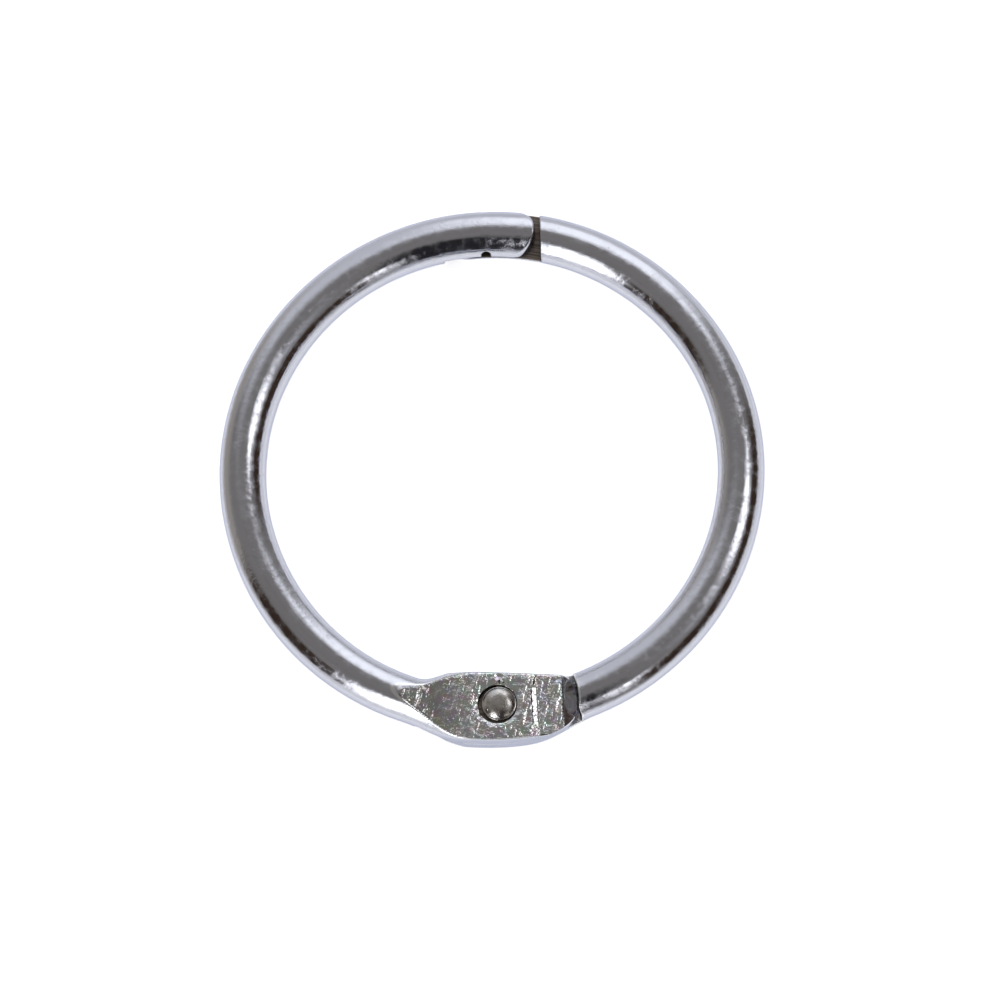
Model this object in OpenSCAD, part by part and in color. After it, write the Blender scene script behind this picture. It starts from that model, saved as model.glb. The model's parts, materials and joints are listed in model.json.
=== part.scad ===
// Hinged binder ring, closed and lying flat.
//
// Two half rings of round wire turn on one rivet at the bottom and lap over each other at the top.
// Each half is pressed flat into a tab at the hinge and cut to half its thickness at the clasp, the
// left half in the upper layer and the right half in the lower one.
//
// Origin: centre of the closed ring, on the parting plane between the two layers.
// Axes: +Z out of the ring's plane, on the left half's side. The hinge is at -Y, the clasp at +Y.

/* [Ring] */
// Clear diameter inside the closed ring
ring_bore = 25; // [19:0.5:50]
// Diameter of the round wire
wire_d = 2.6; // [2.4:0.1:3.2]
// Gap between the two layers where the halves lap
parting_gap = 0.08; // [0.04:0.01:0.1]

/* [Clasp] */
// Length of the lap from shoulder to shoulder
lap_length = 5.4; // [4.6:0.1:8]
// Shift of the lap's middle from the ring's axis, towards the right half
lap_shift = 0.35; // [0:0.05:0.5]
// Gap between a nose and the shoulder that it faces
nose_gap = 0.28; // [0.1:0.02:0.5]
// Radius of a nose's rounded corners, seen from above
nose_round = 1; // [0.6:0.05:1.1]
// Width of the catch groove across the left half's lap
groove_w = 0.5; // [0.46:0.02:0.7]
// Depth of the catch groove
groove_depth = 0.5; // [0.35:0.05:0.7]
// Distance of the catch from the lap's middle, towards the left half
catch_offset = 0.35; // [0:0.05:0.6]
// Radius of the catch pip's ball, on the right half's lap
pip_r = 0.4; // [0.3:0.02:0.5]
// How far the catch pip reaches into its groove
catch_bite = 0.05; // [0.02:0.01:0.06]

/* [Hinge tabs] */
// Width of a tab across the wire
tab_w = 3.9; // [3.6:0.1:4.6]
// How far a tab's middle lies inside the wire's centre line
tab_shift = 0.13; // [0:0.01:0.2]
// How far the rivet lies inside the wire's centre line
hinge_in = 0.25; // [0:0.05:0.3]
// Reach of a tab's round end past the rivet's centre
tab_reach = 4.5; // [4.1:0.1:5.2]
// Running gap between a tab's end and the other half's shoulder
end_gap = 0.1; // [0.05:0.01:0.3]
// Distance from the rivet at which a tab's inside edge starts to narrow into the wire
flare_start = 3; // [2.6:0.1:3.4]
// Length over which a tab's inside edge narrows into the wire
flare_length = 1.9; // [1.5:0.1:2.6]
// Distance from the rivet at which a tab's outside edge starts to narrow, up to the same end
outer_flare_start = 1.8; // [1.7:0.1:2.6]
// Angle at which a tab's inside edge draws in towards its end
inner_taper = 3.5; // [0:0.5:5]
// Radius of the corner between the left tab's end and its outside edge
outer_corner_r = 1.4; // [0.3:0.1:1.6]
// Radius of the corner between the right tab's end and its outside edge
under_corner_r = 2; // [1:0.1:2.2]
// How far the right tab's outside edge lies inside the left one's
under_inset = 0.04; // [0:0.02:0.3]
// Radius of the corner between a tab's end and its inside edge
inner_corner_r = 0.6; // [0.3:0.1:1.2]

/* [Stamped faces] */
// Depth of the stamped face below the wire's crown
stamp_depth = 0.3; // [0.2:0.05:0.4]
// Distance from the rivet at which the stamped face starts to run out
run_out_start = 3.5; // [3:0.1:4.5]
// Length of the run-out up to the wire's crown
run_out_length = 1.9; // [1:0.1:3]
// Distance from the rivet to the step in the stamped face
step_start = 1.85; // [1.6:0.05:2.2]
// Length of the step's slope
step_run = 0.34; // [0.1:0.02:0.5]
// Drop of the step
step_drop = 0.12; // [0.05:0.01:0.2]
// Length of the bevel at a tab's end
bevel_length = 0.92; // [0.5:0.02:1.2]
// Drop of the bevel over its length
bevel_drop = 0.58; // [0.1:0.02:0.7]

/* [Rivet] */
// Diameter of the rivet's shank
rivet_d = 1.5; // [1.2:0.05:1.7]
// Running gap round the shank in the left tab, on the radius
rivet_gap = 0.05; // [0.02:0.01:0.1]
// Gap round the fixed end in the right tab, on the radius
fixed_gap = 0.01; // [0.005:0.005:0.02]
// Diameter of the domed head in the left tab
head_d = 1.94; // [1.8:0.02:2.4]
// Running gap round the domed head in its seat, on the radius
head_gap = 0.11; // [0.05:0.01:0.2]
// Radius of the dome on the head in the left tab
dome_r = 1.5; // [1.3:0.1:3]
// Radius of the flatter dome on the fixed head in the right tab
fixed_dome_r = 2.4; // [2:0.1:5]
// Depth of a head's rim below the stamped face
head_sink = 0.12; // [0.05:0.01:0.2]
// Running gap under the domed head
head_lift = 0.04; // [0.02:0.01:0.08]
// Diameter of the sunk seat that the fixed head fills in the right tab
seat_d = 2.16; // [2.1:0.02:2.4]
// Depth of a seat below the stamped face
seat_depth = 0.5; // [0.4:0.05:0.6]
// Width of the chamfer round the left seat's mouth
seat_chamfer_w = 0.24; // [0.1:0.02:0.4]
// Depth of the chamfer round the left seat's mouth
seat_chamfer_depth = 0.1; // [0.05:0.01:0.15]

/* [Hidden] */

$fn = 96;
flare_stations = 18;
flare_overlap = 0.25;
flare_sides = 26;
flare_power = 8;
wire_r = wire_d / 2;
ring_r = (ring_bore + wire_d) / 2;
layer_z = parting_gap / 2;
stamp_z = wire_r - stamp_depth;
cut_margin = 1;
inset = 0.02;

// Clasp, before lap_shift
shoulder_x = lap_length / 2;
nose_x = shoulder_x - nose_gap;
catch_x = lap_shift - catch_offset;
pip_rise = parting_gap + catch_bite;
pip_root = 0.3;

// Hinge
hinge_r = ring_r - hinge_in;
tab_outer_r = ring_r - tab_shift + tab_w / 2;
tab_inner_r = ring_r - tab_shift - tab_w / 2;
inside_way = [sin(inner_taper), cos(inner_taper)];
shoulder_r = tab_reach + end_gap;
flare_end = flare_start + flare_length;
flare_reach = flare_end - outer_flare_start;
under_outer_r = tab_outer_r - under_inset;
wire_end = (flare_start + shoulder_r) / 2;
step_z = stamp_z - step_drop;

// Rivet
head_r = head_d / 2;
head_seat_r = head_r + head_gap;
fixed_seat_r = seat_d / 2;
fixed_head_r = fixed_seat_r - fixed_gap;
seat_z = stamp_z - seat_depth;
rim_z = stamp_z - head_sink;

// Angle at the ring's centre of a chord of the wire's centre line
function chord_angle(chord) = 2 * asin(chord / (2 * ring_r));

// Angle from the clasp's middle to a point of the wire's centre line at the given x
function clasp_angle(x) = asin(x / ring_r);

// Height of a dome of the given radius over a rim of radius r
function dome_rise(dome, r) = dome - sqrt(pow(dome, 2) - pow(r, 2));

function lerp(a, b, t) = a + (b - a) * t;
function smooth(t) = t * t * (3 - 2 * t);
function signed_power(x, p) = sign(x) * pow(abs(x), p);

// Distance of a tab's inside edge from the ring's centre, at an angle from the hinge
function inside_edge(turn) = tab_inner_r * cos(inner_taper) / cos(turn - inner_taper);

// Section of the flare in the upper layer, at a length from the round wire towards the squared tab
function flare_section(length, outer_r) =
    let (
        inner_blend = smooth(min(length / flare_length, 1)),
        outer_blend = smooth(min(length / flare_reach, 1)),
        turn = chord_angle(flare_end - length),
        inner = lerp(ring_r - wire_r, inside_edge(turn), inner_blend) + inset,
        outer = lerp(ring_r + wire_r, outer_r, outer_blend) - inset,
        power = 2 / lerp(2, flare_power, outer_blend * outer_blend)
    )
    [
        for (i = [0:flare_sides])
            let (
                a = 180 * i / flare_sides,
                rho = (inner + outer) / 2 + (outer - inner) / 2 * signed_power(cos(a), power),
                z = (wire_r - inset) * signed_power(sin(a), power)
            )
            [-rho * sin(turn), -rho * cos(turn), max(layer_z, z)]
    ];

// Centre of a corner circle inside a tab's round end and its outside edge, from the ring's centre
function outer_corner(outer_r, r) =
    let (y = (pow(tab_reach - r, 2) - pow(outer_r - r, 2) - pow(hinge_r, 2)) / (2 * hinge_r))
    [sqrt(pow(outer_r - r, 2) - y * y), y];

// Centre of a corner circle inside a tab's round end and its inside edge, from the ring's centre
function inner_corner(r) =
    let (
        aside = cos(inner_taper) * (hinge_r - tab_inner_r) - r,
        along = sqrt(pow(tab_reach - r, 2) - pow(aside, 2))
    )
    [0, -hinge_r] + aside * inside_way + along * [inside_way.y, -inside_way.x];

// Moves its children from the ring's centre to the rivet's axis
module at_hinge() {
    translate([0, -hinge_r, 0]) children();
}

// Stands its children on the wire's centre line at a polar angle, with their Z against the turn
module at_wire(angle) {
    rotate([0, 0, angle]) translate([ring_r, 0, 0]) rotate([90, 0, 0]) children();
}

module wire_arc(from, to) {
    rotate([0, 0, from])
        rotate_extrude(angle = to - from)
            translate([ring_r, 0]) circle(r = wire_r);
}

// Blunt end of the wire, standing on z = 0, with its corners rounded as seen from above
module nose() {
    flat_half = wire_r - nose_round;
    intersection() {
        cylinder(h = nose_round, r = wire_r);
        rotate([90, 0, 0])
            linear_extrude(wire_d, center = true) {
                translate([-flat_half, 0]) square([2 * flat_half, nose_round]);
                for (side = [-1, 1])
                    translate([side * flat_half, 0]) circle(r = nose_round);
            }
    }
}

// The wire of one half, from its blunt nose at the clasp to inside its hinge tab
module half_wire(nose_angle) {
    wire_arc(90 - nose_angle, 270 - chord_angle(wire_end));
    at_wire(90 - nose_angle) nose();
}

// The sliver between a corner circle and the corner that it rounds, between two directions
module corner_sliver(centre, r, way_a, way_b) {
    far = 3 * r;
    difference() {
        polygon([centre, centre + far * way_a / norm(way_a), centre + far * way_b / norm(way_b)]);
        translate(centre) circle(r = r);
    }
}

// Plan of the tab: straight tapered inside edge, outside edge along the ring, round end about the rivet
module tab_plan(outer_r, corner_r) {
    outer_centre = outer_corner(outer_r, corner_r);
    inner_centre = inner_corner(inner_corner_r);
    hinge_at = [0, -hinge_r];
    difference() {
        intersection() {
            circle(r = outer_r);
            translate([-outer_flare_start, -tab_outer_r - cut_margin])
                square([outer_flare_start + tab_reach + cut_margin, 2 * tab_w]);
            translate([0, -tab_inner_r])
                rotate(-inner_taper)
                    translate([-2 * tab_reach, -2 * tab_w]) square([4 * tab_reach, 2 * tab_w]);
            translate(hinge_at) circle(r = tab_reach);
        }
        corner_sliver(outer_centre, corner_r, outer_centre, outer_centre - hinge_at);
        corner_sliver(inner_centre, inner_corner_r, inside_way, inner_centre - hinge_at);
    }
}

// Solid through a row of sections with as many points each
module loft(sections) {
    rows = len(sections);
    count = len(sections[0]);
    side_faces = [
        for (row = [0:rows - 2], i = [0:count - 1])
            let (
                a = row * count + i,
                b = row * count + (i + 1) % count,
                c = a + count,
                d = b + count
            )
            each [[a, b, c], [b, d, c]]
    ];
    caps = [
        [for (i = [count - 1:-1:0]) i],
        [for (i = [0:count - 1]) (rows - 1) * count + i]
    ];
    polyhedron([for (section = sections) each section], concat(side_faces, caps));
}

// Blend from the upper half of the round wire to the tab, running a little way into the tab
module tab_flare(outer_r) {
    step = (flare_reach + flare_overlap) / flare_stations;
    loft([for (i = [0:flare_stations]) flare_section(i * step, outer_r)]);
}

// What the die takes off the upper side: run-out, flat, step and end bevel, along X
module die_cut() {
    top_z = wire_r + cut_margin;
    run_out_slope = stamp_depth / run_out_length;
    bevel_slope = bevel_drop / bevel_length;
    profile = [
        [-run_out_start - (top_z - stamp_z) / run_out_slope, top_z],
        [-run_out_start, stamp_z],
        [step_start, stamp_z],
        [step_start + step_run, step_z],
        [tab_reach - bevel_length, step_z],
        [tab_reach + cut_margin, step_z - bevel_drop - cut_margin * bevel_slope],
        [tab_reach + cut_margin, top_z]
    ];
    at_hinge()
        rotate([90, 0, 0])
            linear_extrude(2 * tab_w, center = true) polygon(profile);
}

// Room for the other half's tab, in the lower layer
module hinge_clearance() {
    at_hinge()
        translate([0, 0, layer_z - wire_d]) cylinder(h = wire_d, r = shoulder_r);
}

// Room for the other half's lap, in the lower layer
module lap_clearance(shift) {
    translate([shift - shoulder_x, ring_r - wire_d, layer_z - wire_d])
        cube([2 * lap_length, 2 * wire_d, wire_d]);
}

// One half as it leaves the press, in the upper layer and to the left
module half_blank(shift, outer_r, corner_r) {
    difference() {
        union() {
            half_wire(clasp_angle(shift + nose_x - nose_round));
            tab_flare(outer_r);
            translate([0, 0, layer_z])
                linear_extrude(stamp_z - layer_z) tab_plan(outer_r, corner_r);
        }
        die_cut();
        hinge_clearance();
        lap_clearance(shift);
    }
}

// Bore and sunk seat of a rivet's end, in the upper layer
module rivet_hole(bore_r, seat_r) {
    at_hinge() {
        cylinder(h = stamp_z, r = bore_r);
        translate([0, 0, seat_z]) cylinder(h = seat_depth + cut_margin, r = seat_r);
    }
}

module seat_chamfer() {
    at_hinge()
        translate([0, 0, stamp_z - seat_chamfer_depth])
            cylinder(
                h = 2 * seat_chamfer_depth,
                r1 = head_seat_r,
                r2 = head_seat_r + 2 * seat_chamfer_w
            );
}

// Round-topped groove across the lap's flat side
module catch_groove() {
    round_r = groove_w / 2;
    translate([catch_x, ring_r, layer_z])
        rotate([90, 0, 0])
            linear_extrude(2 * wire_d, center = true) {
                translate([0, groove_depth - round_r]) circle(r = round_r);
                translate([-round_r, -cut_margin])
                    square([groove_w, groove_depth - round_r + cut_margin]);
            }
}

// Low ball-topped pip that stands in the groove
module catch_pip() {
    translate([catch_x, ring_r, -layer_z])
        intersection() {
            translate([0, 0, pip_rise - pip_r]) sphere(r = pip_r);
            translate([-pip_r, -pip_r, -pip_root]) cube([2 * pip_r, 2 * pip_r, pip_root + pip_rise]);
        }
}

// A rivet's head with a domed top, standing on z = 0
module domed_head(r, rim, dome) {
    rise = dome_rise(dome, r);
    rotate_extrude()
        intersection() {
            translate([0, rim + rise - dome]) circle(r = dome);
            square([r, rim + rise]);
        }
}

module left_half_ring() {
    color("silver")
        difference() {
            half_blank(lap_shift, tab_outer_r, outer_corner_r);
            rivet_hole(rivet_d / 2 + rivet_gap, head_seat_r);
            seat_chamfer();
            catch_groove();
        }
}

module right_half_ring() {
    color("silver") {
        rotate([0, 180, 0])
            difference() {
                half_blank(-lap_shift, under_outer_r, under_corner_r);
                rivet_hole(rivet_d / 2 + fixed_gap, fixed_seat_r);
            }
        catch_pip();
    }
}

module hinge_rivet() {
    color("gainsboro")
        at_hinge() {
            translate([0, 0, -seat_z]) cylinder(h = 2 * seat_z + head_lift, r = rivet_d / 2);
            translate([0, 0, seat_z + head_lift]) domed_head(head_r, rim_z - seat_z - head_lift, dome_r);
            rotate([0, 180, 0])
                translate([0, 0, seat_z]) domed_head(fixed_head_r, rim_z - seat_z, fixed_dome_r);
        }
}

left_half_ring();
right_half_ring();
hinge_rivet();
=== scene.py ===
"""Closed binder ring of polished nickel wire, lying flat under soft studio light.

Two half rings turn on one rivet and lap over each other at the clasp. Each half is worked out as a
field of distances from its surface, in millimetres, and skinned with quads that follow the ring, so
that pressed edges, noses and seats keep their rounded form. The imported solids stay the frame: each
piece stands for one of them and rides on its body.
"""

import json
import logging
import math
from collections.abc import Callable
from dataclasses import dataclass
from enum import Enum
from typing import Any

import bpy
import numpy as np
from mathutils import Matrix, Vector


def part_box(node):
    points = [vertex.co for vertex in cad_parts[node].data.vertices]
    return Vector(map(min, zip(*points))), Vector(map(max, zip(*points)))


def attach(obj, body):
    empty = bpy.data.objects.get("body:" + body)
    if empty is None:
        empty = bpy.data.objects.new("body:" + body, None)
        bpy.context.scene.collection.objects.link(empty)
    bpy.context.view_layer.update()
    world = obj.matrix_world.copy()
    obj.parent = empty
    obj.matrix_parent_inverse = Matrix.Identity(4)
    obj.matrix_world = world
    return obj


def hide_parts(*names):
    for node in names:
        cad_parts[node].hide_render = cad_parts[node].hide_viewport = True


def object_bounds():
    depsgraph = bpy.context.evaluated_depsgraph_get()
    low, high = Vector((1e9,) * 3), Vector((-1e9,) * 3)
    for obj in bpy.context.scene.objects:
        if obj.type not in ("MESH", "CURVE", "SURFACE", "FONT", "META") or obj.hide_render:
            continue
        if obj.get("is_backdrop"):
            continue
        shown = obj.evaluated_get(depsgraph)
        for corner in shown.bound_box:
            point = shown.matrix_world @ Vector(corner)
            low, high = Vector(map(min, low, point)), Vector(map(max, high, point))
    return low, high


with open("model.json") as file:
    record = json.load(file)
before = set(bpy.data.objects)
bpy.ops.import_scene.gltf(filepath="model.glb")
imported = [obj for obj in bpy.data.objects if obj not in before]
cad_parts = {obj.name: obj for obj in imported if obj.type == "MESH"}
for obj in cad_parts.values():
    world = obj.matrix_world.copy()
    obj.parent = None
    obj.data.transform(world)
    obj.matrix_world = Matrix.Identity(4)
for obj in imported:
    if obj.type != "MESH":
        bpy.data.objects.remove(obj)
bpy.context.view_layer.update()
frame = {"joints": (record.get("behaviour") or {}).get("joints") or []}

Points = np.ndarray
Values = np.ndarray
Colour = tuple[float, float, float]
Range = tuple[float, float]
Pair = tuple[float, float]
Triple = tuple[float, float, float]
Socket = bpy.types.NodeSocket

MM = 0.001
FAR = 50.0
ROUND_POWER = 2.0
LEAST_SQUARE = 1e-6
LEAST_SIZE = 1e-3
LEAST_LENGTH = 1e-9
log = logging.getLogger("binder_ring")


# Distance fields: negative inside, in millimetres


def meet(first: Values, second: Values, edge_r: float | Values) -> Values:
    """Overlap of two fields, with its outside edge rounded.

    Args:
        first: Distances from one surface.
        second: Distances from the other surface.
        edge_r: Radius of the rounded edge.

    Returns:
        Distances from the overlap's surface.
    """
    corner = np.hypot(np.maximum(first + edge_r, 0.0), np.maximum(second + edge_r, 0.0))
    return np.minimum(np.maximum(first, second), -edge_r) + corner


def cut(solid: Values, tool: Values, edge_r: float) -> Values:
    """The solid with the tool taken away, its new edges rounded to edge_r."""
    return meet(solid, -tool, edge_r)


def join(first: Values, second: Values, fillet_r: float) -> Values:
    """Both solids together, with a fillet of fillet_r where they meet."""
    return -meet(-first, -second, fillet_r)


def smooth_step(value: Values, low: float, high: float) -> Values:
    """Smooth rise from 0 at low to 1 at high."""
    share = np.clip((value - low) / (high - low), 0.0, 1.0)
    return share * share * (3.0 - 2.0 * share)


def soft_ramp(value: Values, width: float) -> Values:
    """Zero below nought and the value itself above it, with the bend rounded over the width."""
    return 0.5 * (value + np.sqrt(value * value + width * width))


def turn_from_hinge(x: Values, y: Values) -> Values:
    """Angle at the ring's centre from the hinge towards the left half, in radians."""
    turn = np.arctan2(-x, -y)
    return np.where(turn < -math.pi / 2, turn + 2 * math.pi, turn)


# Sizes, in millimetres


class Side(Enum):
    """Which half of the ring: its turn about the upright axis, as a sign."""

    LEFT = 1.0
    RIGHT = -1.0


@dataclass(frozen=True)
class WireSizes:
    """The round wire, and how its cut and pressed edges are broken."""

    ring_r: float
    wire_r: float
    hinge_r: float
    layer_z: float = 0.04
    inner_edge_r: float = 0.17
    outer_edge_r: float = 0.06
    sheared_edge_r: float = 0.07
    wander: float = 0.012
    wander_waves: tuple[Triple, ...] = ((2.3, 1.0, 1.0), (5.7, 0.6, 2.0))
    wander_out: float = 0.4
    wander_up: float = 1.9
    oval: float = 0.0112
    oval_level: Pair = (3.1, 0.7)
    oval_slanted: Pair = (4.3, 2.9)
    soft_inside: Range = (0.2, 1.0)
    soft_from_x: Range = (-3.6, -2.2)

    def sway(self, turn: Values, phase: float) -> Values:
        """How far the drawn wire wanders from a true circle along its length."""
        waves = (size * np.sin(rate * turn + lag * phase) for rate, size, lag in self.wander_waves)
        return self.wander * sum(waves)

    def pressed_edge_r(self, points: Points) -> Values:
        """Radius of the pressed edge: soft inside the ring, crisp outside it and towards the wire.

        Args:
            points: Points in millimetres.

        Returns:
            The radius at each point.
        """
        x, y, _ = points.T
        inside = smooth_step(self.ring_r - np.hypot(x, y), *self.soft_inside)
        inside = inside * smooth_step(x, *self.soft_from_x)
        return self.outer_edge_r + (self.inner_edge_r - self.outer_edge_r) * inside

    def flattening(self, turn: Values, off: Values, z: Values) -> Values:
        """How much the wire is out of round, by place along it and round its section.

        Args:
            turn: Angles from the hinge.
            off: Distances out from the wire's centre line.
            z: Heights above it.

        Returns:
            What the section's radius loses there.
        """
        round_section = off * off + z * z + LEAST_SQUARE
        level = (off * off - z * z) / round_section
        slanted = 2 * off * z / round_section
        waves = 0.0
        for share, (rate, lag) in ((level, self.oval_level), (slanted, self.oval_slanted)):
            waves = waves + share * np.sin(rate * turn + lag)
        return self.oval * waves


@dataclass(frozen=True)
class ClaspSizes:
    """The two laps that snap over each other opposite the hinge."""

    lap_length: float = 5.4
    lap_shift: float = 0.35
    nose_gap: float = 0.28
    nose_round: float = 1.5
    nose_edge_r: float = 0.15
    groove_w: float = 0.5
    groove_depth: float = 0.5
    pip_r: float = 0.4
    pip_sink: float = 0.31

    @property
    def shoulder_x(self) -> float:
        """Distance of a shoulder from the lap's middle."""
        return self.lap_length / 2

    @property
    def nose_x(self) -> float:
        """Distance of a nose's tip from the lap's middle."""
        return self.shoulder_x - self.nose_gap


@dataclass(frozen=True)
class TabSizes:
    """The pressed hinge tab and the die's marks on its face."""

    width: float = 3.9
    shift: float = 0.13
    reach: float = 4.4
    end_gap: float = 0.08
    corner_ease: float = 0.18
    ease_span: Range = (0.3, 0.75)
    flare_start: float = 3.0
    flare_length: float = 1.9
    outer_flare_start: float = 1.8
    outer_flare_end: float = 4.9
    outer_inset: float = 0.0
    flare_power: float = 8.0
    square_start: float = 0.9
    square_end: float = 4.9
    inner_taper: float = math.radians(3.5)
    straight_turn: float = 0.6
    outer_corner_r: float = 1.2
    inner_corner_r: float = 0.6
    stamp_z: float = 1.0
    run_out_start: float = 3.5
    run_out_slope: float = 0.3 / 1.9
    run_out_bend: float = 0.3
    step_start: float = 1.85
    step_run: float = 0.38
    step_drop: float = 0.12
    step_skew: float = -0.03
    step_blend: float = 0.08
    step_outer_end: Range = (-1.35, -1.0)
    step_inner_end: Range = (-1.15, -0.75)
    bevel_length: float = 0.82
    bevel_slope: float = 0.58 / 0.92
    bend_w: float = 0.06

    @property
    def flare_end(self) -> float:
        """Distance from the rivet at which the wire is round again."""
        return self.flare_start + self.flare_length

    @property
    def bevel_start(self) -> float:
        """Distance from the rivet at which the end bevel starts."""
        return self.reach - self.bevel_length

    def shoulder_r(self, aside: Values) -> Values:
        """Radius about the rivet of the room for the other tab, eased outside for the open halves."""
        return self.reach + self.end_gap + self.corner_ease * smooth_step(-aside, *self.ease_span)

    def inside_edge(self, turn: Values, ring_r: float) -> Values:
        """Distance of the straight tapered inside edge from the ring's centre, by angle from the hinge."""
        along = np.cos(np.clip(turn, -self.straight_turn, self.straight_turn) - self.inner_taper)
        return (ring_r - self.shift - self.width / 2) * math.cos(self.inner_taper) / along

    def past_step(self, x: Values, aside: Values) -> Values:
        """Distances past the step's upper edge, which runs a little askew across the tab."""
        return x - self.step_skew * aside - self.step_start

    def on_step(self, x: Values, aside: Values) -> Values:
        """Share of the step's slope at each point: 1 on it and 0 off it.

        Args:
            x: Distances from the rivet, positive towards the tab's end.
            aside: Distances from it across the tab.

        Returns:
            The shares.
        """
        past, run, blend = self.past_step(x, aside), self.step_run, self.step_blend
        on_slope = smooth_step(past, 0.0, blend) * smooth_step(-past, -run, blend - run)
        return on_slope * smooth_step(aside, *self.step_outer_end) * smooth_step(-aside, *self.step_inner_end)

    def die_height(self, x: Values, aside: Values) -> Values:
        """Height of the stamped face.

        Args:
            x: Distances from the rivet, positive towards the tab's end.
            aside: Distances from the rivet across the tab.

        Returns:
            Height of the face there: run-out, flat, step and end bevel.
        """
        run_out = self.run_out_slope * soft_ramp(-x - self.run_out_start, self.run_out_bend)
        past_step = self.past_step(x, aside)
        step_ramps = [soft_ramp(past_step - begin, self.bend_w) for begin in (0.0, self.step_run)]
        step = self.step_drop / self.step_run * (step_ramps[0] - step_ramps[1])
        bevel = self.bevel_slope * soft_ramp(x - self.bevel_start, self.bend_w)
        return self.stamp_z + run_out - step - bevel


@dataclass(frozen=True)
class SeatSizes:
    """Bore and sunk seat of the rivet in one tab."""

    bore_r: float
    seat_r: float
    seat_z: float = 0.5
    stamp_z: float = 1.0
    chamfer_w: float = 0.0
    chamfer_depth: float = 0.1

    @property
    def chamfer_z(self) -> float:
        """Height of the chamfer's lower edge."""
        return self.stamp_z - self.chamfer_depth

    def hole(self, hub: Values, z: Values) -> Values:
        """Distances from the hole's wall.

        Args:
            hub: Distances from the rivet's axis.
            z: Heights above the parting plane.

        Returns:
            Distances, negative inside the hole.
        """
        seat = np.maximum(hub - self.seat_r, self.seat_z - z)
        hole = np.minimum(hub - self.bore_r, seat)
        if self.chamfer_w:
            slope = self.chamfer_w / self.chamfer_depth
            mouth = self.seat_r + (z - self.chamfer_z) * slope
            hole = np.minimum(hole, (hub - mouth) / math.hypot(1.0, slope))
        return hole


# Skin over a distance field


@dataclass(frozen=True)
class RingGrid:
    """Grid bent round the ring, with its slices close together at the clasp and the hinge."""

    ring_r: float
    half_width: float = 2.15
    half_height: float = 1.45
    cell: float = 0.06
    long_cell: float = 0.26
    start: float = -5.2
    hinge_end: float = 7.0
    clasp_start: float = 40.0
    end: float = 46.8
    easing: float = 3.0

    def slices(self) -> Values:
        """Distances along the wire from the hinge at which the grid has a slice.

        Returns:
            The distances, in millimetres.
        """
        eased = (self.hinge_end + self.easing, self.clasp_start - self.easing)
        stops = (self.hinge_end, *eased, self.clasp_start)
        steps = (self.cell, self.long_cell, self.long_cell, self.cell)
        along = [self.start]
        while along[-1] < self.end:
            along.append(along[-1] + float(np.interp(along[-1], stops, steps)))
        return np.array(along)

    def axes(self) -> tuple[Values, Values, Values]:
        """Radii, polar angles and heights of the grid's nodes.

        Returns:
            One row of values for each of the three.
        """
        radii = np.arange(self.ring_r - self.half_width, self.ring_r + self.half_width, self.cell)
        polar = 1.5 * math.pi - self.slices() / self.ring_r
        heights = np.arange(-self.half_height, self.half_height, self.cell)
        return radii, polar[::-1], heights


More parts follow.
